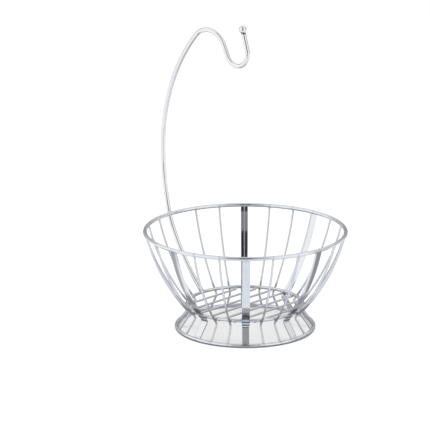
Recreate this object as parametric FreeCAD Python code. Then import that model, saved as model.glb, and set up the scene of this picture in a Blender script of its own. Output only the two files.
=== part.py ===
import FreeCAD, Part
import math
import os

# Fruit bowl of welded, chromed wire with a banana hanger. Millimetres, +Z up.
# The origin is the centre of the foot ring on the table.
# The hanger stands on the -X side and is bent in the XZ plane.

# Overall sizes
overall_height = 400.0
rim_diameter = 265.0
bowl_height = 132.5
foot_diameter = 183.6
hanger_overhang = 17.0      # how far the bow reaches out past the rim

# Stock
rim_wire = 5.0
foot_wire = 5.0
floor_wire = 4.5
upright_wire = 2.8
strip_width = 10.0
strip_thickness = 2.0
grid_wire = 2.8
hanger_stock = 6.0
ball_diameter = 10.0

# Uprights: leans are from plumb, outward as the upright rises
foot_lean_deg = -35.0
waist_lean_deg = 42.0
rim_lean_deg = 14.0
waist_bend = 4.0
rim_offset = 0.8            # the uprights meet the rim a little outside its centreline
upright_places = 24
strip_every = 3             # every third upright is a strip
hanger_turn_deg = 2.5       # from the hanger back to the place it takes

# Floor
floor_height = 32.0         # centre of the floor ring
grid_wires = 7
grid_margin = 18.0          # from the floor ring's centreline to the outermost wire's
grid_drop = 2.4             # centre of the grid wires below the centre of the floor ring
grid_inset = 0.8            # the grid wires stop short of the floor ring's centreline

# Hanger: leans are from plumb, towards the bowl's axis as the rod rises
hanger_rim_lean_deg = -14.0
hanger_low_lean_deg = -24.0     # just below the bend at the rim
hanger_rim_bend = 100.0
bow_top_lean_deg = 41.5
crown_bend = 30.0
crown_lean_deg = 154.5
hook_drop = 14.5            # straight run from the crown down to the hook
hook_bend = 18.0
tip_lean_deg = -16.5
tip_length = 27.0           # from the hook's bend to the centre of the ball
hanger_bite = 0.8           # how far the rod's lower end is coped over the floor ring

# Centrelines that follow from the sizes above
rim_radius = (rim_diameter - rim_wire) / 2
rim_height = bowl_height - rim_wire / 2
foot_radius = (foot_diameter - foot_wire) / 2
foot_height = foot_wire / 2

UP = FreeCAD.Vector(0, 0, 1)
ALONG_Y = FreeCAD.Vector(0, 1, 0)
CENTRE = FreeCAD.Vector(0, 0, 0)


def at(x, z):
    """Point in the XZ plane."""
    return FreeCAD.Vector(x, 0, z)


def heading(lean):
    """Direction that leans from +Z towards +X by so many degrees."""
    turn = math.radians(lean)
    return at(math.sin(turn), math.cos(turn))


def right_of(lean):
    """Direction square to a heading, on its +X side when the heading is plumb."""
    return heading(lean + 90)


def bend_move(radius, first, last):
    """Step made by a bend from one lean to another."""
    side = radius if last > first else -radius
    return (right_of(first) - right_of(last)) * side


class Bender:
    """Runs along a rod or strip in the XZ plane and makes its straights and bends."""

    def __init__(self, start, lean, section):
        self.place = start
        self.lean = lean
        self.section = section
        self.spans = []

    def straight(self, length):
        step = heading(self.lean) * length
        self.spans.append(self.section(self.place, self.lean).extrude(step))
        self.place = self.place + step

    def bend(self, radius, lean):
        side = radius if lean > self.lean else -radius
        centre = self.place + right_of(self.lean) * side
        face = self.section(self.place, self.lean)
        self.spans.append(face.revolve(centre, ALONG_Y, lean - self.lean))
        self.place = self.place + bend_move(radius, self.lean, lean)
        self.lean = lean

    def solid(self):
        body = self.spans[0].fuse(self.spans[1:]).removeSplitter()
        return body.Solids[0]


def round_section(diameter):
    """Section maker for round stock."""
    def face(place, lean):
        circle = Part.makeCircle(diameter / 2, place, heading(lean))
        return Part.Face(Part.Wire(circle))
    return face


def flat_section(width, thickness):
    """Section maker for strip, with its width along Y."""
    def face(place, lean):
        across = right_of(lean) * (thickness / 2)
        wide = ALONG_Y * (width / 2)
        corners = [place - across - wide, place + across - wide,
                   place + across + wide, place - across + wide]
        return Part.Face(Part.makePolygon(corners + corners[:1]))
    return face


def wire_ring(radius, height, stock):
    """Ring of round wire about the Z axis."""
    return Part.makeTorus(radius, stock / 2, at(0, height), UP)


def turned(shape, degrees):
    """Copy of a shape turned about the Z axis."""
    copy = shape.copy()
    copy.rotate(CENTRE, UP, degrees)
    return copy


# Uprights: foot length and wall radius bring each one from the foot ring to the rim
def wall_sizes():
    """Length of the foot's straight run and radius of the wall's curve."""
    reach = at(rim_radius + rim_offset, rim_height) - at(foot_radius, foot_height)
    rest = reach - bend_move(waist_bend, foot_lean_deg, waist_lean_deg)
    run = heading(foot_lean_deg)
    curve = bend_move(1.0, waist_lean_deg, rim_lean_deg)
    area = run.x * curve.z - run.z * curve.x
    length = (rest.x * curve.z - rest.z * curve.x) / area
    radius = (run.x * rest.z - run.z * rest.x) / area
    return length, radius


foot_run, wall_radius = wall_sizes()
wall_centre = at(rim_radius + rim_offset, rim_height) - right_of(rim_lean_deg) * wall_radius

# The floor ring rests against the inside of the uprights
floor_reach = wall_radius - (upright_wire + floor_wire) / 2
floor_rise = floor_height - wall_centre.z
floor_radius = wall_centre.x + math.sqrt(floor_reach ** 2 - floor_rise ** 2)
floor_lean = math.degrees(math.acos((floor_radius - wall_centre.x) / floor_reach))

# Strips are thinner than the wires, so they sit further in to meet the same ring
strip_shift = (upright_wire - strip_thickness) / 2 / math.cos(math.radians(floor_lean))


def upright(section, shift):
    """Upright on the +X side, from the foot ring's centreline to the rim's."""
    bender = Bender(at(foot_radius - shift, foot_height), foot_lean_deg, section)
    bender.straight(foot_run)
    bender.bend(waist_bend, waist_lean_deg)
    bender.bend(wall_radius, rim_lean_deg)
    return bender.solid()


def make_uprights(rings):
    """Strips and wires all round, but for the place that the hanger takes."""
    wire = upright(round_section(upright_wire), 0.0).cut(rings)
    strip = upright(flat_section(strip_width, strip_thickness), strip_shift).cut(rings)
    pieces = {}
    for place in range(1, upright_places):
        angle = 180 - hanger_turn_deg + place * 360 / upright_places
        if place % strip_every == 0:
            pieces[f"flat_rib_{place // strip_every}"] = turned(strip, angle)
        else:
            number = place - place // strip_every
            pieces[f"wire_rib_{number:02d}"] = turned(wire, angle)
    return pieces


def make_grid(floor_ring):
    """Straight wires square to the hanger, coped to the underside of the floor ring."""
    outermost = floor_radius - grid_margin
    pitch = 2 * outermost / (grid_wires - 1)
    level = floor_height - grid_drop
    end_radius = floor_radius - grid_inset
    pieces = {}
    for number in range(grid_wires):
        offset = number * pitch - outermost
        edge = abs(offset) + grid_wire / 2
        half = math.sqrt(end_radius ** 2 - edge ** 2)
        start = FreeCAD.Vector(offset, -half, level)
        wire = Part.makeCylinder(grid_wire / 2, 2 * half, start, ALONG_Y)
        pieces[f"grid_wire_{number + 1}"] = wire.cut(floor_ring)
    return pieces


def bend_hook(bender):
    """Crown, run down to the hook, hook and tip, ending at the ball's centre."""
    bender.bend(crown_bend, crown_lean_deg)
    bender.straight(hook_drop)
    bender.bend(hook_bend, tip_lean_deg)
    bender.straight(tip_length)


def make_hanger(floor_ring):
    """Hanger rod and its ball."""
    section = round_section(hanger_stock)
    trial = Bender(CENTRE, bow_top_lean_deg, section)
    bend_hook(trial)
    hook_rise = trial.place.z

    # The rod touches the outside of the rim
    spacing = (rim_wire + hanger_stock) / 2
    touch = at(-rim_radius, rim_height) - right_of(hanger_rim_lean_deg) * spacing

    # The bow leans out to its widest place, then in to the crown
    widest = -(rim_diameter / 2 + hanger_overhang - hanger_stock / 2)
    swell_bend = (touch.x - widest) / (1 - math.cos(math.radians(hanger_rim_lean_deg)))
    swell_top = touch.z + swell_bend * math.sin(math.radians(-hanger_rim_lean_deg))
    bow_top = overall_height - ball_diameter / 2 - hook_rise
    bow_bend = (bow_top - swell_top) / math.sin(math.radians(bow_top_lean_deg))

    # Below the rim one curve runs in to the floor ring
    seat = at(-floor_radius, floor_height)
    low_top = touch - bend_move(hanger_rim_bend, hanger_low_lean_deg, hanger_rim_lean_deg)
    chord = low_top - seat
    chord_lean = math.degrees(math.atan2(chord.x, chord.z))
    low_lean = 2 * chord_lean - hanger_low_lean_deg
    half_turn = math.radians(hanger_low_lean_deg - chord_lean)
    low_bend = chord.Length / (2 * math.sin(half_turn))

    # The lower end is cut back to the ring's skin, less the bite of the cope
    bare = floor_wire / 2 - hanger_bite
    start_lean = low_lean + math.degrees(bare / low_bend)
    start = seat + bend_move(low_bend, low_lean, start_lean)

    rod = Bender(start, start_lean, section)
    rod.bend(low_bend, hanger_low_lean_deg)
    rod.bend(hanger_rim_bend, hanger_rim_lean_deg)
    rod.bend(swell_bend, 0.0)
    rod.bend(bow_bend, bow_top_lean_deg)
    bend_hook(rod)
    ball = Part.makeSphere(ball_diameter / 2, rod.place)
    return {"hanger_rod": rod.solid().cut([floor_ring, ball]), "hanger_ball": ball}


def main():
    rim_ring = wire_ring(rim_radius, rim_height, rim_wire)
    foot_ring = wire_ring(foot_radius, foot_height, foot_wire)
    floor_ring = wire_ring(floor_radius, floor_height, floor_wire)
    pieces = {"rim_ring": rim_ring, "floor_ring": floor_ring, "foot_ring": foot_ring}
    pieces.update(make_uprights([rim_ring, foot_ring]))
    pieces.update(make_grid(floor_ring))
    pieces.update(make_hanger(floor_ring))
    os.makedirs("parts", exist_ok=True)
    for name, shape in pieces.items():
        shape.Solids[0].exportStep(f"parts/{name}.step")
        print(name, len(shape.Solids), round(shape.Volume, 1))


main()
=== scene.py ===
"""Studio view of a chromed fruit bowl with a banana hanger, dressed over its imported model."""
import logging
import math
from dataclasses import dataclass, field, replace
from enum import Enum
from typing import Any, Callable, Iterable, Sequence, Union

import bmesh
import bpy
from mathutils import Matrix, Vector


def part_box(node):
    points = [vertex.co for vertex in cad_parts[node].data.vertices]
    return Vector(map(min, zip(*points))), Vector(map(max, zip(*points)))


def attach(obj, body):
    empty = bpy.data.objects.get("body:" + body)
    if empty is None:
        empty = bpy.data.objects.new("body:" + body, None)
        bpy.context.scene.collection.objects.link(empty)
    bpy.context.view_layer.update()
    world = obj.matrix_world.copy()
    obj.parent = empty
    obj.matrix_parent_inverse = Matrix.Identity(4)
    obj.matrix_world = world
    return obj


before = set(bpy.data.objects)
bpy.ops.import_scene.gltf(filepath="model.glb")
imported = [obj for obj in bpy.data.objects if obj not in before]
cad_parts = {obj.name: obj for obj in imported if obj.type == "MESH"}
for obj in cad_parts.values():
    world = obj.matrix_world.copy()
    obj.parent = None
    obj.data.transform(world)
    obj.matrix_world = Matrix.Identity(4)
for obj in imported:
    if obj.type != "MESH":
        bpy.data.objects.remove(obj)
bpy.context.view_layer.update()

logging.basicConfig(level=logging.INFO, format="%(message)s")
log = logging.getLogger("fruit_bowl")

MM = 0.001
QUARTER_TURN_DEG = 90.0
HALF_TURN_DEG = 180.0
FULL_TURN_DEG = 360.0
SMOOTH_BELOW_DEG = 50.0
LEAST_UPRIGHT_NORMAL = 0.5
UP = Vector((0.0, 0.0, 1.0))
ALONG_Y = Vector((0.0, 1.0, 0.0))
Colour = tuple[float, float, float]

# Sockets of a Mix node that mixes colours, which share their names with others
MIX_FACTOR, MIX_FIRST, MIX_SECOND, MIX_RESULT = 0, 6, 7, 2


# Shader expressions


class Value:
    """A shader output that takes part in Python expressions, each adding a Math node."""

    def __init__(self, graph: "Graph", socket: bpy.types.NodeSocket) -> None:
        """Wraps one output socket of a graph."""
        self.graph = graph
        self.socket = socket

    def pick(self, name: str) -> "Value":
        """Another output of the same node."""
        return Value(self.graph, self.socket.node.outputs[name])

    def __add__(self, other: "Feed") -> "Value":
        """Sum."""
        return self.graph.maths("ADD", self, other)

    def __radd__(self, other: "Feed") -> "Value":
        """Sum, reflected."""
        return self.graph.maths("ADD", other, self)

    def __sub__(self, other: "Feed") -> "Value":
        """Difference."""
        return self.graph.maths("SUBTRACT", self, other)

    def __rsub__(self, other: "Feed") -> "Value":
        """Difference, reflected."""
        return self.graph.maths("SUBTRACT", other, self)

    def __mul__(self, other: "Feed") -> "Value":
        """Product."""
        return self.graph.maths("MULTIPLY", self, other)

    def __rmul__(self, other: "Feed") -> "Value":
        """Product, reflected."""
        return self.graph.maths("MULTIPLY", other, self)

    def __truediv__(self, other: "Feed") -> "Value":
        """Quotient."""
        return self.graph.maths("DIVIDE", self, other)

    def __rtruediv__(self, other: "Feed") -> "Value":
        """Quotient, reflected."""
        return self.graph.maths("DIVIDE", other, self)


# A number worked out by the shader or beforehand, and anything that a socket takes
Scalar = Union[Value, float]
Feed = Union[Value, float, int, Sequence[float]]


class Graph:
    """Builds a node tree from expressions and from one method for every other node."""

    def __init__(self, tree: bpy.types.NodeTree) -> None:
        """Starts with an empty tree."""
        self.tree = tree
        tree.nodes.clear()

    def add(self, kind: str, settings: dict[str, Any] | None = None,
            sockets: dict[Any, Feed] | None = None, output: Any = 0) -> Value:
        """Adds a node.

        Args:
            kind: The node's type, without its ShaderNode prefix.
            settings: Attributes to set first.
            sockets: Values or links for its inputs, by name or number.
            output: The output that the result stands for.

        Returns:
            The chosen output, or the first input of a node that has no output.
        """
        node = self.tree.nodes.new("ShaderNode" + kind)
        for key, value in (settings or {}).items():
            setattr(node, key, value)
        for key, feed in (sockets or {}).items():
            if isinstance(feed, Value):
                self.tree.links.new(feed.socket, node.inputs[key])
            else:
                node.inputs[key].default_value = feed
        return Value(self, node.outputs[output] if node.outputs else node.inputs[0])

    def maths(self, operation: str, *feeds: Feed) -> Value:
        """A Math node of one operation on its feeds."""
        return self.add("Math", {"operation": operation}, dict(enumerate(feeds)))

    def fade(self, value: Value, start: float, end: float) -> Value:
        """A smooth step from 0 at start to 1 at end."""
        return self.add("MapRange", {"interpolation_type": "SMOOTHSTEP"},
                        {"Value": value, "From Min": start, "From Max": end,
                         "To Min": 0.0, "To Max": 1.0})

    def band(self, value: Value, low: float, high: float, soft: float) -> Value:
        """A mask that is 1 from low to high, with edges that fade over a width of soft."""
        rise = self.fade(value, low - soft / 2, low + soft / 2)
        return rise * (1.0 - self.fade(value, high - soft / 2, high + soft / 2))

    def blend(self, mask: Feed, first: Feed, second: Feed) -> Value:
        """First colour where the mask is 0 and second where it is 1."""
        feeds = {MIX_FACTOR: mask, MIX_FIRST: rgba(first), MIX_SECOND: rgba(second)}
        return self.add("Mix", {"data_type": "RGBA", "blend_type": "MIX"}, feeds, MIX_RESULT)

    def polar(self, place: Value) -> tuple[Value, Value]:
        """Place about the bowl's axis.

        Args:
            place: A point or a direction.

        Returns:
            The distance from the axis, and the bearing about it in radians.
        """
        parts = self.add("SeparateXYZ", None, {0: place})
        x, y = parts.pick("X"), parts.pick("Y")
        return self.maths("SQRT", x * x + y * y), self.maths("ARCTAN2", y, x)

    def from_nearest(self, bearing: Value, count: int, first_deg: float) -> Value:
        """Turn from the nearest of the evenly spaced places round the bowl.

        Args:
            bearing: Bearing about the bowl's axis, in radians.
            count: How many places there are.
            first_deg: The bearing of one of them.

        Returns:
            The turn in radians, below zero on one side of the place.
        """
        step = 2.0 * math.pi / count
        # Two turns more keep the number of steps above zero
        steps = (bearing - math.radians(first_deg)) / step + 2.0 * count
        return (self.maths("FRACT", steps + 0.5) - 0.5) * step


def rgba(colour: Feed) -> Feed:
    """A plain colour with its alpha, or a link as it is."""
    return colour if isinstance(colour, Value) else (*colour, 1.0)


def scaled(colour: Colour, level: float) -> Colour:
    """A colour made lighter or darker."""
    return (colour[0] * level, colour[1] * level, colour[2] * level)


# Tones of the studio
WHITE = (1.0, 1.0, 1.0)
BLACK = (0.0, 0.0, 0.0)
NEUTRAL = (0.985, 0.99, 1.0)
WARM = (1.0, 0.99, 0.975)
LAVENDER = (0.955, 0.985, 1.06)
STEEL_BLUE = (0.955, 0.985, 1.03)

# Tints of the plating, one finish set lighter or darker by part: CLEAR is painted light, SHADED
# painted shade
BRIGHT = (0.792, 0.81, 0.848)
CLEAR = (0.86, 0.863, 0.868)
SOFT = (0.765, 0.78, 0.812)
SHADED = (0.715, 0.73, 0.758)


# Finishes


@dataclass(frozen=True)
class ShadeBand:
    """A band round the bowl where the plating is painted darker, as painted shade near a join, and
    made duller.

    Lengths are in millimetres, and depth is 1 for the darkest and dullest plating.
    """

    height: float
    reach: float
    depth: float

    def above(self, base: float) -> "ShadeBand":
        """The same mark, where its height was measured from a base."""
        return replace(self, height=base + self.height)


@dataclass(frozen=True)
class Chrome:
    """Bright plating over polished steel. Lengths are in millimetres.

    Waves and peel are the plating's relief, and clouds are the duller crests of its waves.
    """

    tint: Colour = BRIGHT
    roughness: float = 0.055
    wave_size: float = 11.0
    wave_depth: float = 0.016
    wave_grain: float = 0.4
    peel_size: float = 0.9
    peel_depth: float = 0.0007
    peel_grain: float = 0.6
    noise_detail: float = 2.0
    cloud_range: tuple[float, float] = (0.42, 0.75)
    cloud_mix: float = 0.35
    cloud_shade: float = 0.93
    cloud_roughness: float = 0.03
    # Bands of painted shade: the dark tint painted into them, and the roughness, relief and
    # patchiness they add
    shade_tint: Colour = (0.10, 0.105, 0.12)
    dull_roughness: float = 0.16
    dull_depth: float = 0.004
    dull_patchiness: tuple[float, float] = (0.7, 1.3)
    shade_core: float = 0.35
    shade_bands: tuple[ShadeBand, ...] = ()

    def material(self, name: str) -> bpy.types.Material:
        """Builds the finish.

        Args:
            name: The material's name.

        Returns:
            A mirror plating with faint waves, orange peel and clouding.
        """
        made = bpy.data.materials.new(name)
        made.use_nodes = True
        graph = Graph(made.node_tree)
        place = graph.add("TexCoord", output="Object")
        wave = self.noise(graph, place, self.wave_size, self.wave_grain)
        peel = self.noise(graph, place, self.peel_size, self.peel_grain)
        least, most = self.dull_patchiness
        shade_and_dull = self.shade_and_dullness(graph, place) * (least + (most - least) * peel)
        shade_and_dull = graph.maths("MINIMUM", shade_and_dull, 1.0)
        clouds = graph.fade(wave, *self.cloud_range)
        clouded = scaled(self.tint, self.cloud_shade)
        tone = graph.blend(self.cloud_mix * clouds, self.tint, clouded)
        # Painted shade: the bands darken the plating's tone towards the shade tint
        tone = graph.blend(shade_and_dull, tone, self.shade_tint)
        rough = self.roughness + self.cloud_roughness * clouds
        rough = rough + (self.dull_roughness - self.roughness) * shade_and_dull
        relief = wave * self.wave_depth + peel * (self.peel_depth + self.dull_depth * shade_and_dull)
        relief = relief + self.section(graph, place)
        bump = graph.add("Bump", None, {"Strength": 1.0, "Distance": MM, "Height": relief})
        shader = graph.add("BsdfPrincipled", None, {"Base Color": tone, "Metallic": 1.0,
                                                    "Roughness": rough, "Normal": bump})
        graph.add("OutputMaterial", None, {"Surface": shader})
        return made

    def noise(self, graph: Graph, place: Value, size: float, grain: float) -> Value:
        """Noise from 0 to 1, of a size in millimetres."""
        return graph.add("TexNoise", None, {"Vector": place, "Scale": 1.0 / (size * MM),
                                            "Detail": self.noise_detail, "Roughness": grain})

    def shade_and_dullness(self, graph: Graph, place: Value) -> Scalar:
        """How much painted shade and dullness the bands lay on the plating, by height.

        Args:
            graph: The graph to add to.
            place: The point on the bowl.

        Returns:
            0 for bright plating, up to 1 for the darkest and dullest.
        """
        height = graph.add("SeparateXYZ", None, {0: place}, "Z") / MM
        mask: Scalar = 0.0
        for shade_band in self.shade_bands:
            away = graph.maths("ABSOLUTE", height - shade_band.height)
            fading = graph.fade(away, self.shade_core * shade_band.reach, shade_band.reach)
            mask = mask + shade_band.depth * (1.0 - fading)
        return mask

    def section(self, graph: Graph, place: Value) -> Scalar:
        """Relief of the stock's own section, in millimetres: none on round stock."""
        return 0.0


@dataclass(frozen=True)
class RingChrome(Chrome):
    """Plating on a ring, with painted shade and duller plating where the uprights stand on it."""

    radius: float = 130.0
    places: int = 24
    first_deg: float = 0.0
    # Spots of painted shade where the uprights stand: their reach in millimetres, core share and
    # depth
    spot: float = 2.2
    shade_spot_core: float = 0.4
    shade_spot_depth: float = 0.16

    def shade_and_dullness(self, graph: Graph, place: Value) -> Scalar:
        """A spot of painted shade at each upright's place round the ring.

        Args:
            graph: The graph to add to.
            place: The point on the ring.

        Returns:
            0 between the uprights, up to the spots' depth.
        """
        _, bearing = graph.polar(place)
        turn = graph.from_nearest(bearing, self.places, self.first_deg)
        away = graph.maths("ABSOLUTE", turn) * self.radius
        return self.shade_spot_depth * (1.0 - graph.fade(away, self.shade_spot_core * self.spot, self.spot))


@dataclass(frozen=True)
class StripChrome(Chrome):
    """Plating on flat strip, whose faces are slightly crowned and whose long edges are eased."""

    strips: int = 8
    first_deg: float = 0.0
    width: float = 10.0
    crown_deg: float = 3.2
    edge: float = 0.8
    edge_drop: float = 0.16
    facing_fade: float = 10.0

    def shade_and_dullness(self, graph: Graph, place: Value) -> Scalar:
        """The bands of painted shade, which show on the outside of the bowl only.

        Args:
            graph: The graph to add to.
            place: The point on the strip.

        Returns:
            0 for bright plating, up to 1 for the darkest and dullest.
        """
        parts = graph.add("SeparateXYZ", None, {0: place})
        outward = graph.add("CombineXYZ", None, {0: parts.pick("X"), 1: parts.pick("Y")})
        normal = graph.add("NewGeometry", output="Normal")
        facing = graph.add("VectorMath", {"operation": "DOT_PRODUCT"},
                           {0: normal, 1: outward}, "Value")
        outside = graph.fade(facing / MM, 0.0, self.facing_fade)
        return super().shade_and_dullness(graph, place) * outside

    def section(self, graph: Graph, place: Value) -> Scalar:
        """Relief across the strip: a shallow crown that falls away at the edges.

        Args:
            graph: The graph to add to.
            place: The point on the strip.

        Returns:
            The relief in millimetres, 0 along the middle of the strip.
        """
        radius, bearing = graph.polar(place)
        turn = graph.from_nearest(bearing, self.strips, self.first_deg)
        across = turn * (radius / MM)
        crown = math.tan(math.radians(self.crown_deg)) / self.width
        over = graph.maths("ABSOLUTE", across) - (self.width / 2 - self.edge)
        over = graph.maths("MAXIMUM", over, 0.0)
        return across * across * -crown - over * over * (self.edge_drop / self.edge ** 2)


@dataclass(frozen=True)
class GridChrome(Chrome):
    """Plating on the floor's straight wires, with painted shade at both ends where the floor ring
    holds them.
    """

    end_radius: float = 75.0
    # Painted shade at the wires' ends: its reach in millimetres and its depth
    weld_shade: float = 4.0
    end_shade_depth: float = 0.70

    def shade_and_dullness(self, graph: Graph, place: Value) -> Scalar:
        """Painted shade at the end of each wire, by its distance from the bowl's axis.

        Args:
            graph: The graph to add to.
            place: The point on the wire.

        Returns:
            0 for bright plating, up to the end shade's depth.
        """
        radius, _ = graph.polar(place)
        start = (self.end_radius - self.weld_shade) * MM
        return self.end_shade_depth * graph.fade(radius, start, self.end_radius * MM)


# Modelling helpers


def select_only(*pieces: bpy.types.Object) -> None:
    """Leaves only these pieces selected.

    Args:
        *pieces: The pieces, of which the last becomes the active one.
    """
    bpy.ops.object.select_all(action="DESELECT")
    for piece in pieces:
        piece.select_set(True)
        bpy.context.view_layer.objects.active = piece


def in_edit_mode(piece: bpy.types.Object, work: Callable[[bmesh.types.BMesh], None]) -> None:
    """Runs some modelling in edit mode on one piece.

    Args:
        piece: The piece to work on.
        work: Selects and shapes, given the piece's edit mesh.
    """
    select_only(piece)
    bpy.ops.object.mode_set(mode="EDIT")
    bpy.ops.mesh.select_mode(type="FACE")
    bpy.ops.mesh.select_all(action="DESELECT")
    work(bmesh.from_edit_mesh(piece.data))
    bpy.ops.object.mode_set(mode="OBJECT")


def select_end(mesh: bmesh.types.BMesh, way: float) -> None:
    """Selects the faces that look up or down, and no others.

    Args:
        mesh: The piece's edit mesh.
        way: 1 for the faces that look up, and -1 for those that look down.
    """
    for face in mesh.faces:
        face.select_set(face.normal.z * way > LEAST_UPRIGHT_NORMAL)
    mesh.select_flush_mode()


def extrude(along: float, grow_x: float, grow_y: float) -> None:
    """Extrudes the selected faces along Z and resizes the new end."""
    bpy.ops.mesh.extrude_region_move(TRANSFORM_OT_translate={"value": (0.0, 0.0, along)})
    bpy.ops.transform.resize(value=(grow_x, grow_y, 1.0))


def rounded(piece: bpy.types.Object) -> bpy.types.Object:
    """Rounds a small piece off with one subdivision.

    Args:
        piece: The piece to round off.

    Returns:
        The same piece.
    """
    select_only(piece)
    soften = piece.modifiers.new("round_off", "SUBSURF")
    soften.levels = soften.render_levels = 1
    bpy.ops.object.modifier_apply(modifier=soften.name)
    return piece


def standing(place: Vector, away: Vector) -> Matrix:
    """A placement at a point, with X along Y, and Z along a direction in the XZ plane."""
    turn = Matrix((ALONG_Y, away.cross(ALONG_Y), away)).transposed().to_4x4()
    return Matrix.Translation(place) @ turn


def heading(lean_deg: float) -> Vector:
    """Direction that leans from +Z towards +X by so many degrees."""
    lean = math.radians(lean_deg)
    return Vector((math.sin(lean), 0.0, math.cos(lean)))


def about_axis(turn_deg: float) -> Matrix:
    """A turn about the bowl's axis."""
    return Matrix.Rotation(math.radians(turn_deg), 4, "Z")


def copies(pattern: bpy.types.Object, placements: Iterable[Matrix]) -> bpy.types.Object:
    """Sets a copy of a pattern at each placement and joins them.

    Args:
        pattern: A mesh piece at the origin, which is used up.
        placements: Where each copy goes.

    Returns:
        One mesh piece.
    """
    made = []
    for placement in placements:
        copy = bpy.data.objects.new(pattern.name, pattern.data.copy())
        copy.data.transform(placement)
        bpy.context.scene.collection.objects.link(copy)
        made.append(copy)
    bpy.data.objects.remove(pattern)
    select_only(*made)
    bpy.ops.object.join()
    return bpy.context.object


def wear(node: str, finish: bpy.types.Material) -> None:
    """Puts a finish in every material slot of a CAD node.

    Args:
        node: The node's name.
        finish: Its material.
    """
    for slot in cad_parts[node].material_slots:
        slot.material = finish
    log.info("%s: %s", node, finish.name)


def finish_piece(piece: bpy.types.Object, name: str,
                 finish: bpy.types.Material) -> None:
    """Names a piece, dresses it and fixes it to the model.

    Args:
        piece: A mesh whose place is in its vertices.
        name: The piece's name.
        finish: Its material.
    """
    piece.name = name
    piece.data.name = name
    piece.data.materials.clear()
    piece.data.materials.append(finish)
    select_only(piece)
    bpy.ops.object.shade_smooth_by_angle(angle=math.radians(SMOOTH_BELOW_DEG))
    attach(piece, "root")
    log.info("%s: %d faces", name, len(piece.data.polygons))


# Weld metal


@dataclass
class WeldSkirt:
    """A fillet of weld metal round the end of a wire or strip, in millimetres.

    It is modelled about the Z axis and opens out towards -Z, where it meets the ring. Its toe and
    its root are its next two sections down, placed by shares of its height.
    """

    half_width: float
    half_depth: float
    height: float = 0.9
    flare: float = 0.5
    sides: int = 12
    skirt_share: float = 0.4
    toe_drop: float = 0.4
    root_drop: float = 0.8
    root_size: float = 0.96
    top_inset: float = 0.12

    def model(self) -> bpy.types.Object:
        """Models one skirt at the origin.

        Returns:
            The skirt, closed, with its wide end down.
        """
        bpy.ops.object.select_all(action="DESELECT")
        height = self.height * MM
        bpy.ops.mesh.primitive_cylinder_add(vertices=self.sides, radius=1.0, depth=height,
                                            location=(0.0, 0.0, height / 2))
        skirt = bpy.context.object
        bpy.ops.object.transform_apply(location=True, rotation=True, scale=True)
        in_edit_mode(skirt, self.shape)
        return rounded(skirt)

    def shape(self, mesh: bmesh.types.BMesh) -> None:
        """Fits the skirt to its stock, flares it and eases its top.

        Args:
            mesh: The skirt's edit mesh, a cylinder of radius 1.
        """
        bpy.ops.mesh.select_all(action="SELECT")
        bpy.ops.transform.resize(value=(self.half_width * MM, self.half_depth * MM, 1.0))
        select_end(mesh, -1.0)
        wide, deep = self.flare / self.half_width, self.flare / self.half_depth
        upper, lower = self.skirt_share, 1.0 - self.skirt_share
        bpy.ops.transform.resize(value=(1.0 + upper * wide, 1.0 + upper * deep, 1.0))
        extrude(-self.toe_drop * self.height * MM, 1.0 + lower * wide, 1.0 + lower * deep)
        extrude(-self.root_drop * self.height * MM, self.root_size, self.root_size)
        select_end(mesh, 1.0)
        bpy.ops.mesh.inset(thickness=self.top_inset * MM)


@dataclass
class WeldNugget:
    """Weld metal in the crevice where two round wires touch, in millimetres.

    It is a bead along X, pinched towards both ends, and lies about the origin. Each taper gives its
    length as a share of the half length, and its end's size against the section before it.
    """

    half_length: float
    half_width: float
    half_height: float
    sides: int = 10
    tapers: tuple[tuple[float, float], ...] = ((0.35, 0.82), (0.15, 0.45))

    def model(self) -> bpy.types.Object:
        """Models one nugget at the origin.

        Returns:
            The nugget, closed.
        """
        bpy.ops.object.select_all(action="DESELECT")
        bpy.ops.mesh.primitive_cylinder_add(vertices=self.sides, radius=self.half_width * MM,
                                            depth=self.half_length * MM)
        nugget = bpy.context.object
        in_edit_mode(nugget, self.shape)
        nugget.data.transform(Matrix.Rotation(math.pi / 2, 4, "Y"))
        return rounded(nugget)

    def shape(self, mesh: bmesh.types.BMesh) -> None:
        """Draws both ends out and sets the bead's height.

        Args:
            mesh: The nugget's edit mesh, a cylinder along Z.
        """
        for way in (1.0, -1.0):
            select_end(mesh, way)
            for share, size in self.tapers:
                extrude(way * share * self.half_length * MM, size, size)
        bpy.ops.mesh.select_all(action="SELECT")
        bpy.ops.transform.resize(value=(1.0, self.half_height / self.half_width, 1.0))


# The bowl


@dataclass
class Ring:
    """One ring of round wire, measured from its node."""

    node: str

    def stock(self) -> float:
        """Diameter of the wire, in millimetres."""
        low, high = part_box(self.node)
        return (high.z - low.z) / MM

    def radius(self) -> float:
        """Radius of the wire's centreline, in millimetres."""
        low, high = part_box(self.node)
        return (high.x - low.x) / 2 / MM - self.stock() / 2

    def height(self) -> float:
        """Height of the wire's centreline, in millimetres."""
        low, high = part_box(self.node)
        return (high.z + low.z) / 2 / MM


class Stock(Enum):
    """What an upright is made of, by the start of its node's name."""

    STRIP = "flat_rib"
    WIRE = "wire_rib"


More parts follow.
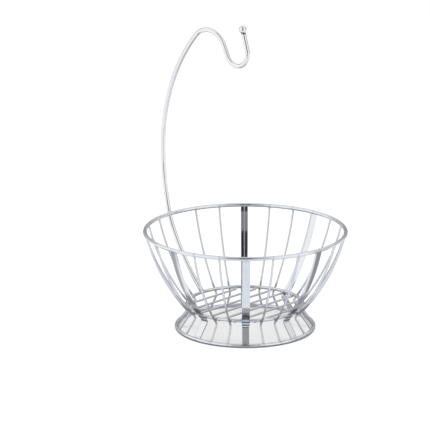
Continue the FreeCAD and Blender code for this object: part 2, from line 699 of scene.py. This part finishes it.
@dataclass
class Uprights:
    """Strips and wires between the rim and the foot, with the welds at their ends.

    Lengths are in millimetres. The heights of the bands of painted shade are measured from their
    ring.
    """

    places: int = 24
    strip_every: int = 3
    rim_lean_deg: float = 14.0
    foot_lean_deg: float = -35.0
    rim_offset: float = 0.8
    strip_width: float = 10.0
    strip_thickness: float = 2.0
    strip_inset: float = 0.52
    strip_wave: float = 14.0
    wire: float = 2.8
    wire_wave: float = 7.0
    weld_sink: float = 0.3
    weld_margin: float = 0.1
    strip_weld_sides: int = 16
    nugget_offset: float = 1.3
    # Bands of painted shade near the uprights' joins with the rim, the foot and the floor ring
    rim_shade: ShadeBand = ShadeBand(-3.0, 2.4, 0.14)
    foot_shade: ShadeBand = ShadeBand(3.0, 2.4, 0.14)
    # On the strips the bands about the floor ring are painted shade and painted dark reflection
    strip_shades: tuple[ShadeBand, ...] = (ShadeBand(7.8, 6.5, 0.95), ShadeBand(-0.6, 2.1, 0.92),
                                         ShadeBand(-5.6, 1.7, 0.85))
    wire_shades: tuple[ShadeBand, ...] = (ShadeBand(1.5, 7.0, 0.50),)
    rim: Ring = field(default_factory=lambda: Ring("rim_ring"))
    floor: Ring = field(default_factory=lambda: Ring("floor_ring"))
    foot: Ring = field(default_factory=lambda: Ring("foot_ring"))

    def first_deg(self) -> float:
        """Bearing of the place that the hanger takes, from the first wire's node.

        Returns:
            The bearing in degrees.
        """
        points = [vertex.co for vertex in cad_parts["wire_rib_01"].data.vertices]
        middle = sum(points, Vector()) / len(points)
        return math.degrees(math.atan2(middle.y, middle.x)) - FULL_TURN_DEG / self.places

    def numbers(self, stock: Stock) -> list[int]:
        """Places round the bowl of the strips, or of the wires."""
        strips = stock is Stock.STRIP
        return [k for k in range(1, self.places) if (k % self.strip_every == 0) == strips]

    def turned_to(self, number: int) -> Matrix:
        """The turn that brings the +X side round to an upright's place."""
        return about_axis(self.first_deg() + FULL_TURN_DEG * number / self.places)

    def shade_bands(self, floor_shades: Sequence[ShadeBand]) -> tuple[ShadeBand, ...]:
        """The bands of painted shade of an upright, at their heights on the bowl.

        Args:
            floor_shades: The bands at the floor ring.

        Returns:
            The bands at both ends, then those at the floor ring.
        """
        ends = (self.rim_shade.above(self.rim.height()), self.foot_shade.above(self.foot.height()))
        return ends + tuple(weld_shade.above(self.floor.height()) for weld_shade in floor_shades)

    def dress(self) -> None:
        """Gives the rings, strips and wires their platings and adds the welds."""
        first = self.first_deg()
        # The floor ring's tint is painted darker than the rim's and the foot's, as painted shade
        for ring, tint in ((self.rim, BRIGHT), (self.floor, SHADED), (self.foot, BRIGHT)):
            finish = RingChrome(tint, places=self.places, radius=ring.radius(), first_deg=first)
            wear(ring.node, finish.material(ring.node + "_plating"))
        strip_finish = StripChrome(shade_bands=self.shade_bands(self.strip_shades), first_deg=first,
                                   wave_size=self.strip_wave, width=self.strip_width,
                                   strips=self.places // self.strip_every)
        strip = strip_finish.material("strip_plating")
        wire_finish = Chrome(SOFT, shade_bands=self.shade_bands(self.wire_shades), wave_size=self.wire_wave)
        wire = wire_finish.material("wire_plating")
        for node in sorted(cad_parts):
            if node.startswith(Stock.STRIP.value):
                wear(node, strip)
            elif node.startswith(Stock.WIRE.value):
                wear(node, wire)
        self.weld_ends(strip, wire)
        self.weld_floor(strip, wire)

    def weld_ends(self, strip: bpy.types.Material, wire: bpy.types.Material) -> None:
        """Models the fillets where the uprights meet the rim and the foot.

        Args:
            strip: The strips' plating.
            wire: The wires' plating.
        """
        wide = WeldSkirt(self.strip_width / 2 - self.weld_margin, self.strip_thickness / 2,
                         sides=self.strip_weld_sides)
        thin = WeldSkirt(self.wire / 2, self.wire / 2)
        piece = copies(wide.model(), self.ends(self.numbers(Stock.STRIP), self.strip_inset))
        finish_piece(piece, "strip_welds", strip)
        piece = copies(thin.model(), self.ends(self.numbers(Stock.WIRE), 0.0))
        finish_piece(piece, "wire_welds", wire)

    def ends(self, numbers: Sequence[int], inset: float) -> list[Matrix]:
        """Placements of the skirts at both ends of each upright.

        Args:
            numbers: The uprights' places round the bowl.
            inset: How far their centreline lies inside the wires', in millimetres.

        Returns:
            One placement at the rim and one at the foot for each.
        """
        found = []
        for number in numbers:
            for ring, offset, away in ((self.rim, self.rim_offset, -heading(self.rim_lean_deg)),
                                       (self.foot, 0.0, heading(self.foot_lean_deg))):
                middle = Vector((ring.radius() + offset - inset, 0.0, ring.height()))
                spot = middle + away * (ring.stock() / 2 - self.weld_sink)
                found.append(self.turned_to(number) @ standing(spot * MM, away))
        return found

    def weld_floor(self, strip: bpy.types.Material, wire: bpy.types.Material) -> None:
        """Models the weld metal where the floor ring touches the inside of the uprights.

        Args:
            strip: The strips' plating.
            wire: The wires' plating.
        """
        wide = WeldNugget(half_length=4.2, half_width=0.6, half_height=0.8)
        thin = WeldNugget(half_length=1.7, half_width=0.45, half_height=0.6)
        piece = copies(wide.model(), self.touches(self.numbers(Stock.STRIP)))
        finish_piece(piece, "strip_floor_welds", strip)
        piece = copies(thin.model(), self.touches(self.numbers(Stock.WIRE)))
        finish_piece(piece, "wire_floor_welds", wire)

    def touches(self, numbers: Sequence[int]) -> list[Matrix]:
        """Placements of the nuggets above and below the floor ring's touch with each upright.

        Args:
            numbers: The uprights' places round the bowl.

        Returns:
            One placement above and one below for each.
        """
        lean_deg = self.lean_at_floor()
        lean = math.radians(lean_deg)
        half = self.floor.stock() / 2
        touch = Vector((self.floor.radius() + half * math.cos(lean), 0.0,
                        self.floor.height() - half * math.sin(lean)))
        along = heading(lean_deg)
        found = []
        for number in numbers:
            for side in (1.0, -1.0):
                spot = touch + along * (side * self.nugget_offset)
                found.append(self.turned_to(number) @ standing(spot * MM, along))
        return found

    def lean_at_floor(self) -> float:
        """Lean of the uprights where the floor ring touches them, from the rings' places.

        Returns:
            The lean outward from plumb, in degrees.
        """
        rise = self.rim.height() - self.floor.height()
        run = self.rim.radius() - self.floor.radius()
        chord = math.degrees(math.atan2(run, rise))
        return 2.0 * chord - self.rim_lean_deg


@dataclass
class FloorGrid:
    """Straight wires under the floor ring, in millimetres."""

    wire: float = 2.8
    wave: float = 7.0
    weld_margin: float = 0.1
    weld_height: float = 1.5
    weld_from_end: float = 1.7
    weld_rise: float = 0.7
    ring: Ring = field(default_factory=lambda: Ring("floor_ring"))

    def dress(self) -> None:
        """Gives the grid wires their plating and adds the weld at each end."""
        # The grid's tint is painted darker, as painted shade
        chrome = GridChrome(SHADED, wave_size=self.wave, end_radius=self.ring.radius())
        finish = chrome.material("grid_plating")
        spots = []
        for node in sorted(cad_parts):
            if node.startswith("grid_wire"):
                wear(node, finish)
                low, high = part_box(node)
                middle = (low.x + high.x) / 2
                level = (low.z + high.z) / 2 + self.weld_rise * MM
                for end, way in ((low.y, 1.0), (high.y, -1.0)):
                    spot = Vector((middle, end + way * self.weld_from_end * MM, level))
                    turn = Matrix.Rotation(-way * math.pi / 2, 4, "X")
                    spots.append(Matrix.Translation(spot) @ turn)
        half = self.wire / 2 + self.weld_margin
        skirt = WeldSkirt(half, half, height=self.weld_height)
        finish_piece(copies(skirt.model(), spots), "grid_welds", finish)


@dataclass
class Hanger:
    """Bent rod with its ball, and its welds to the ball and the rim, in millimetres.

    The collar's seat is a share of the ball's radius. The heights of the bands of painted shade are
    measured from the floor ring, the rim and the underside of the ball.
    """

    stock: float = 6.0
    tip_lean_deg: float = -16.5
    rim_lean_deg: float = -14.0
    wave: float = 18.0
    wave_depth: float = 0.012
    roughness: float = 0.05
    collar_seat: float = 0.84
    collar_height: float = 0.6
    collar_flare: float = 0.25
    collar_sides: int = 20
    nugget_offset: float = 1.5
    # Bands of painted shade on the rod at the floor ring's height, at the rim and at the ball
    floor_shade: ShadeBand = ShadeBand(0.0, 6.0, 0.5)
    rim_shade: ShadeBand = ShadeBand(0.0, 3.0, 0.2)
    ball_shade: ShadeBand = ShadeBand(0.6, 1.5, 0.9)
    rim: Ring = field(default_factory=lambda: Ring("rim_ring"))
    floor: Ring = field(default_factory=lambda: Ring("floor_ring"))

    def dress(self) -> None:
        """Gives the rod and the ball their plating and adds the welds."""
        low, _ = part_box("hanger_ball")
        shade_bands = (self.floor_shade.above(self.floor.height()), self.rim_shade.above(self.rim.height()),
                 self.ball_shade.above(low.z / MM))
        # The hanger's tint is painted lighter, as painted light
        chrome = Chrome(CLEAR, shade_bands=shade_bands, wave_size=self.wave, wave_depth=self.wave_depth,
                        roughness=self.roughness)
        finish = chrome.material("hanger_plating")
        wear("hanger_rod", finish)
        wear("hanger_ball", finish)
        self.weld_ball(finish)
        self.weld_rim(finish)

    def weld_ball(self, finish: bpy.types.Material) -> None:
        """Models the collar of weld metal where the tip meets the ball.

        Args:
            finish: The hanger's plating.
        """
        low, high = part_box("hanger_ball")
        down = -heading(self.tip_lean_deg)
        seat = (low + high) / 2 + down * ((high.z - low.z) / 2 * self.collar_seat)
        collar = WeldSkirt(self.stock / 2, self.stock / 2, height=self.collar_height,
                           flare=self.collar_flare, sides=self.collar_sides)
        piece = copies(collar.model(), [standing(seat, down)])
        finish_piece(piece, "ball_weld", finish)

    def weld_rim(self, finish: bpy.types.Material) -> None:
        """Models the weld metal above and below the rod's touch with the rim.

        Args:
            finish: The hanger's plating.
        """
        nugget = WeldNugget(half_length=2.6, half_width=0.8, half_height=1.2)
        along = heading(self.rim_lean_deg)
        across = heading(self.rim_lean_deg + QUARTER_TURN_DEG)
        middle = Vector((-self.rim.radius(), 0.0, self.rim.height()))
        touch = middle - across * (self.rim.stock() / 2)
        spots = [standing((touch + along * (side * self.nugget_offset)) * MM, along)
                 for side in (1.0, -1.0)]
        piece = copies(nugget.model(), spots)
        finish_piece(piece, "hanger_rim_weld", finish)


# The studio


@dataclass
class PhotoCamera:
    """The camera, by the fit of the photograph's ellipses and heights, in millimetres."""

    azimuth_deg: float = 311.9
    elevation_deg: float = 16.68
    distance: float = 3652.0
    aim_height: float = 60.0
    focal_px: float = 2804.5
    image_px: float = 430.0
    aim_px: tuple[float, float] = (244.9, 282.18)
    sensor_mm: float = 36.0
    far_clip_m: float = 50.0

    def place(self) -> None:
        """Adds the camera, turned so that the aim point falls on its pixel."""
        azimuth, rise = math.radians(self.azimuth_deg), math.radians(self.elevation_deg)
        outward = Vector((math.cos(azimuth) * math.cos(rise), math.sin(azimuth) * math.cos(rise),
                          math.sin(rise)))
        right = (-outward).cross(UP).normalized()
        upward = right.cross(-outward)
        middle = (self.image_px - 1.0) / 2
        look = (-outward - right * ((self.aim_px[0] - middle) / self.focal_px)
                + upward * ((self.aim_px[1] - middle) / self.focal_px))
        data = bpy.data.cameras.new("photo_camera")
        data.sensor_width = self.sensor_mm
        data.lens = self.sensor_mm * self.focal_px / self.image_px
        data.clip_end = self.far_clip_m
        camera = bpy.data.objects.new("photo_camera", data)
        camera.location = (Vector((0.0, 0.0, self.aim_height)) + outward * self.distance) * MM
        camera.rotation_euler = look.to_track_quat("-Z", "Y").to_euler()
        bpy.context.scene.collection.objects.link(camera)
        bpy.context.scene.camera = camera


class Ray(Enum):
    """Kinds of ray that the surroundings answer in their own way."""

    CAMERA = "Is Camera Ray"
    GLOSSY = "Is Glossy Ray"


@dataclass(frozen=True)
class Patch:
    """A tone of the surroundings that the chrome mirrors.

    Bearings are in degrees from the camera's, positive towards the right of its picture. Near and
    far are heights in degrees for the room, and distances from the bowl's axis in metres for the
    table.
    """

    bearing: float
    half_width: float
    near: float
    far: float
    level: float
    soft: float = 8.0
    soft_reach: float = 4.0
    tint: Colour = NEUTRAL


@dataclass(frozen=True)
class Lamp:
    """A soft square lamp that doesn't show in the chrome, in metres and watts."""

    name: str
    place: tuple[float, float, float]
    power: float
    size: float = 1.6
    aim: tuple[float, float, float] = (0.0, 0.0, 0.1)

    def build(self) -> None:
        """Adds the lamp, aimed at the bowl."""
        data = bpy.data.lights.new(self.name, "AREA")
        data.shape = "SQUARE"
        data.size = self.size
        data.energy = self.power
        lamp = bpy.data.objects.new(self.name, data)
        lamp.location = self.place
        way = Vector(self.aim) - lamp.location
        lamp.rotation_euler = way.to_track_quat("-Z", "Y").to_euler()
        lamp.visible_glossy = False
        bpy.context.scene.collection.objects.link(lamp)


@dataclass
class Studio:
    """White surroundings, soft lamps and a pale table, in metres.

    The levels are those of the room and the table in the chrome, of the room as it lights the
    bowl, and of the table's own glow. Painted shade lies under the bowl and a painted contact
    shadow round its foot.
    """

    camera_bearing_deg: float = 311.9
    lamps: tuple[Lamp, ...] = (
        Lamp("key_lamp", (-1.3, -1.2, 2.2), 20.0),
        Lamp("fill_lamp", (1.8, 0.4, 2.0), 14.0),
    )
    room_level: float = 0.88
    room: tuple[Patch, ...] = (
        # Bright walls to the left and the right
        Patch(-72.0, 44.0, -20.0, 48.0, 1.06, 14.0, 10.0),
        Patch(62.0, 27.0, -20.0, 46.0, 1.06, 14.0, 10.0),
        # Dimmer walls behind the bowl
        Patch(126.0, 46.0, -20.0, 27.0, 0.52, 10.0, 8.0, WARM),
        Patch(-158.0, 36.0, -20.0, 30.0, 0.58, 12.0, 10.0, WARM),
        Patch(180.0, 24.0, -20.0, 18.0, 0.38, 14.0, 8.0),
        # The darker side of the room, in front of the bowl
        Patch(2.0, 26.0, -20.0, 60.0, 0.55, 10.0, 8.0),
        Patch(-4.0, 16.0, -20.0, 13.0, 0.13, 6.0, 4.0),
        # Dim ceiling in front of the bowl
        Patch(-4.0, 52.0, 58.0, 86.0, 0.28, 16.0, 6.0),
        # Tall dark screen, with a grey step and a narrow bright slot
        Patch(0.5, 7.5, 8.0, 17.5, 0.03, 1.5, 2.0),
        Patch(0.5, 7.5, 17.5, 28.5, 0.24, 1.5, 3.0),
        Patch(0.5, 7.5, 28.5, 47.0, 0.03, 1.5, 3.0),
        Patch(1.3, 1.0, 8.0, 47.0, 0.42, 0.8, 2.0),
        # Grey band over the screen
        Patch(0.0, 16.0, 47.0, 57.0, 0.37, 6.0, 3.0),
    )
    table_level: float = 1.0
    # Tones of the table that only the chrome's reflections show, much of them painted shade
    table: tuple[Patch, ...] = (
        # Cool white paper in front of the bowl
        Patch(0.0, 55.0, 0.10, 0.50, 0.90, 14.0, 0.06, LAVENDER),
        # Shaded paper behind the bowl
        Patch(180.0, 40.0, 0.30, 3.50, 0.42, 20.0, 0.20, STEEL_BLUE),
        Patch(180.0, 75.0, 0.08, 0.21, 0.38, 20.0, 0.03, STEEL_BLUE),
        # Shade to the left and the right of the foot
        Patch(-86.0, 12.0, 0.13, 0.36, 0.47, 7.0, 0.03, STEEL_BLUE),
        Patch(86.0, 12.0, 0.13, 0.36, 0.34, 7.0, 0.03, STEEL_BLUE),
        Patch(-75.0, 25.0, 0.09, 0.13, 0.30, 10.0, 0.02, STEEL_BLUE),
        Patch(75.0, 25.0, 0.09, 0.13, 0.33, 10.0, 0.02, STEEL_BLUE),
        # Darker tones further to the front, and a dark patch among them
        Patch(4.0, 22.0, 0.50, 1.10, 0.66, 8.0, 0.10),
        Patch(2.0, 24.0, 1.10, 3.50, 0.68, 8.0, 0.10),
        Patch(-13.0, 14.0, 1.05, 1.70, 0.04, 6.0, 0.10),
        # Shade round the foot ring and under the bowl
        Patch(0.0, 190.0, 0.085, 0.106, 0.43, 1.0, 0.004),
        Patch(0.0, 190.0, 0.087, 0.0955, 0.20, 1.0, 0.003),
        Patch(0.0, 190.0, 0.046, 0.086, 0.45, 1.0, 0.006),
        Patch(0.0, 190.0, 0.0, 0.046, 0.26, 1.0, 0.01),
    )
    table_radius: float = 3.5
    table_sides: int = 96
    paper: Colour = (0.55, 0.55, 0.55)
    ambient_level: float = 0.62
    glow_level: float = 0.62
    # Painted shade on the table inside the foot ring, and a painted contact shadow round the foot
    shade_depth: float = 0.19
    shade_radii: tuple[float, float] = (0.079, 0.094)
    contact_shadow_radii: tuple[float, float] = (0.0840, 0.0910)
    contact_shadow_soft: float = 0.002
    contact_shadow_depth: float = 0.45

    def light(self) -> None:
        """Builds the room, the lamps and the table."""
        self.build_room()
        for lamp in self.lamps:
            lamp.build()
        self.build_table()

    def patched(self, graph: Graph, level: float, bearing: Value, reach: Value,
                patches: Sequence[Patch]) -> Value:
        """Lays patches over a plain tone.

        Args:
            graph: The graph to add to.
            level: The plain tone.
            bearing: Bearing about the bowl, in radians.
            reach: Height in degrees, or distance from the axis in metres.
            patches: The patches, the later ones on top.

        Returns:
            The colour that the chrome sees.
        """
        shade: Feed = scaled(NEUTRAL, level)
        turned = bearing * math.degrees(1.0) - self.camera_bearing_deg
        for patch in patches:
            off = graph.maths("PINGPONG", turned - patch.bearing, HALF_TURN_DEG)
            mask = 1.0 - graph.fade(off, patch.half_width - patch.soft / 2,
                                    patch.half_width + patch.soft / 2)
            mask = mask * graph.band(reach, patch.near, patch.far, patch.soft_reach)
            shade = graph.blend(mask, shade, scaled(patch.tint, patch.level))
        return shade

    @staticmethod
    def rays(graph: Graph, kind: Ray) -> Value:
        """1 for one kind of ray, and 0 for the others."""
        return graph.add("LightPath", output=kind.value)

    def build_room(self) -> None:
        """The world: white behind the bowl, with walls, screens and soft boxes in its chrome."""
        world = bpy.data.worlds.new("studio_room")
        bpy.context.scene.world = world
        world.use_nodes = True
        graph = Graph(world.node_tree)
        way = graph.add("TexCoord", output="Generated")
        rise = graph.maths("ARCSINE", graph.add("SeparateXYZ", None, {0: way}, "Z"))
        _, bearing = graph.polar(way)
        mirrored = self.patched(graph, self.room_level, bearing, rise * math.degrees(1.0),
                                self.room)
        seen = graph.blend(self.rays(graph, Ray.GLOSSY), scaled(WHITE, self.ambient_level),
                           mirrored)
        seen = graph.blend(self.rays(graph, Ray.CAMERA), seen, WHITE)
        sky = graph.add("Background", None, {"Color": seen, "Strength": 1.0})
        graph.add("OutputWorld", None, {"Surface": sky})

    def build_table(self) -> None:
        """The table: white with painted shade under the bowl and a painted contact shadow round the
        foot, and patched with other tones, much of them painted shade, where the chrome mirrors it.
        """
        bpy.ops.object.select_all(action="DESELECT")
        bpy.ops.mesh.primitive_circle_add(vertices=self.table_sides, radius=self.table_radius,
                                          fill_type="NGON")
        table = bpy.context.object
        table.name = "studio_table"
        paper = bpy.data.materials.new("studio_paper")
        paper.use_nodes = True
        graph = Graph(paper.node_tree)
        radius, bearing = graph.polar(graph.add("TexCoord", output="Object"))
        lit = graph.add("BsdfDiffuse", None, {"Color": rgba(self.paper)})
        # Painted shade inside the foot ring and a painted contact shadow round it, taken off the
        # table's glow
        inside = 1.0 - graph.fade(radius, *self.shade_radii)
        contact_shadow = graph.band(radius, *self.contact_shadow_radii, self.contact_shadow_soft)
        glow = graph.blend(inside, scaled(WHITE, self.glow_level),
                           scaled(WHITE, self.glow_level - self.shade_depth))
        glow = graph.blend(self.contact_shadow_depth * contact_shadow, glow, BLACK)
        glow = graph.add("Emission", None, {"Color": glow, "Strength": 1.0})
        seen = graph.add("AddShader", None, {0: lit, 1: glow})
        mirrored = self.patched(graph, self.table_level, bearing, radius, self.table)
        mirrored = graph.add("Emission", None, {"Color": mirrored, "Strength": 1.0})
        plain = graph.add("MixShader", None, {0: self.rays(graph, Ray.GLOSSY), 1: lit, 2: mirrored})
        shader = graph.add("MixShader", None, {0: self.rays(graph, Ray.CAMERA), 1: plain, 2: seen})
        graph.add("OutputMaterial", None, {"Surface": shader})
        table.data.materials.append(paper)


def main() -> None:
    """Dresses the bowl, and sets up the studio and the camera."""
    Uprights().dress()
    FloorGrid().dress()
    Hanger().dress()
    Studio().light()
    PhotoCamera().place()
    bpy.context.scene.view_settings.view_transform = "Standard"


if __name__ == "__main__":
    main()
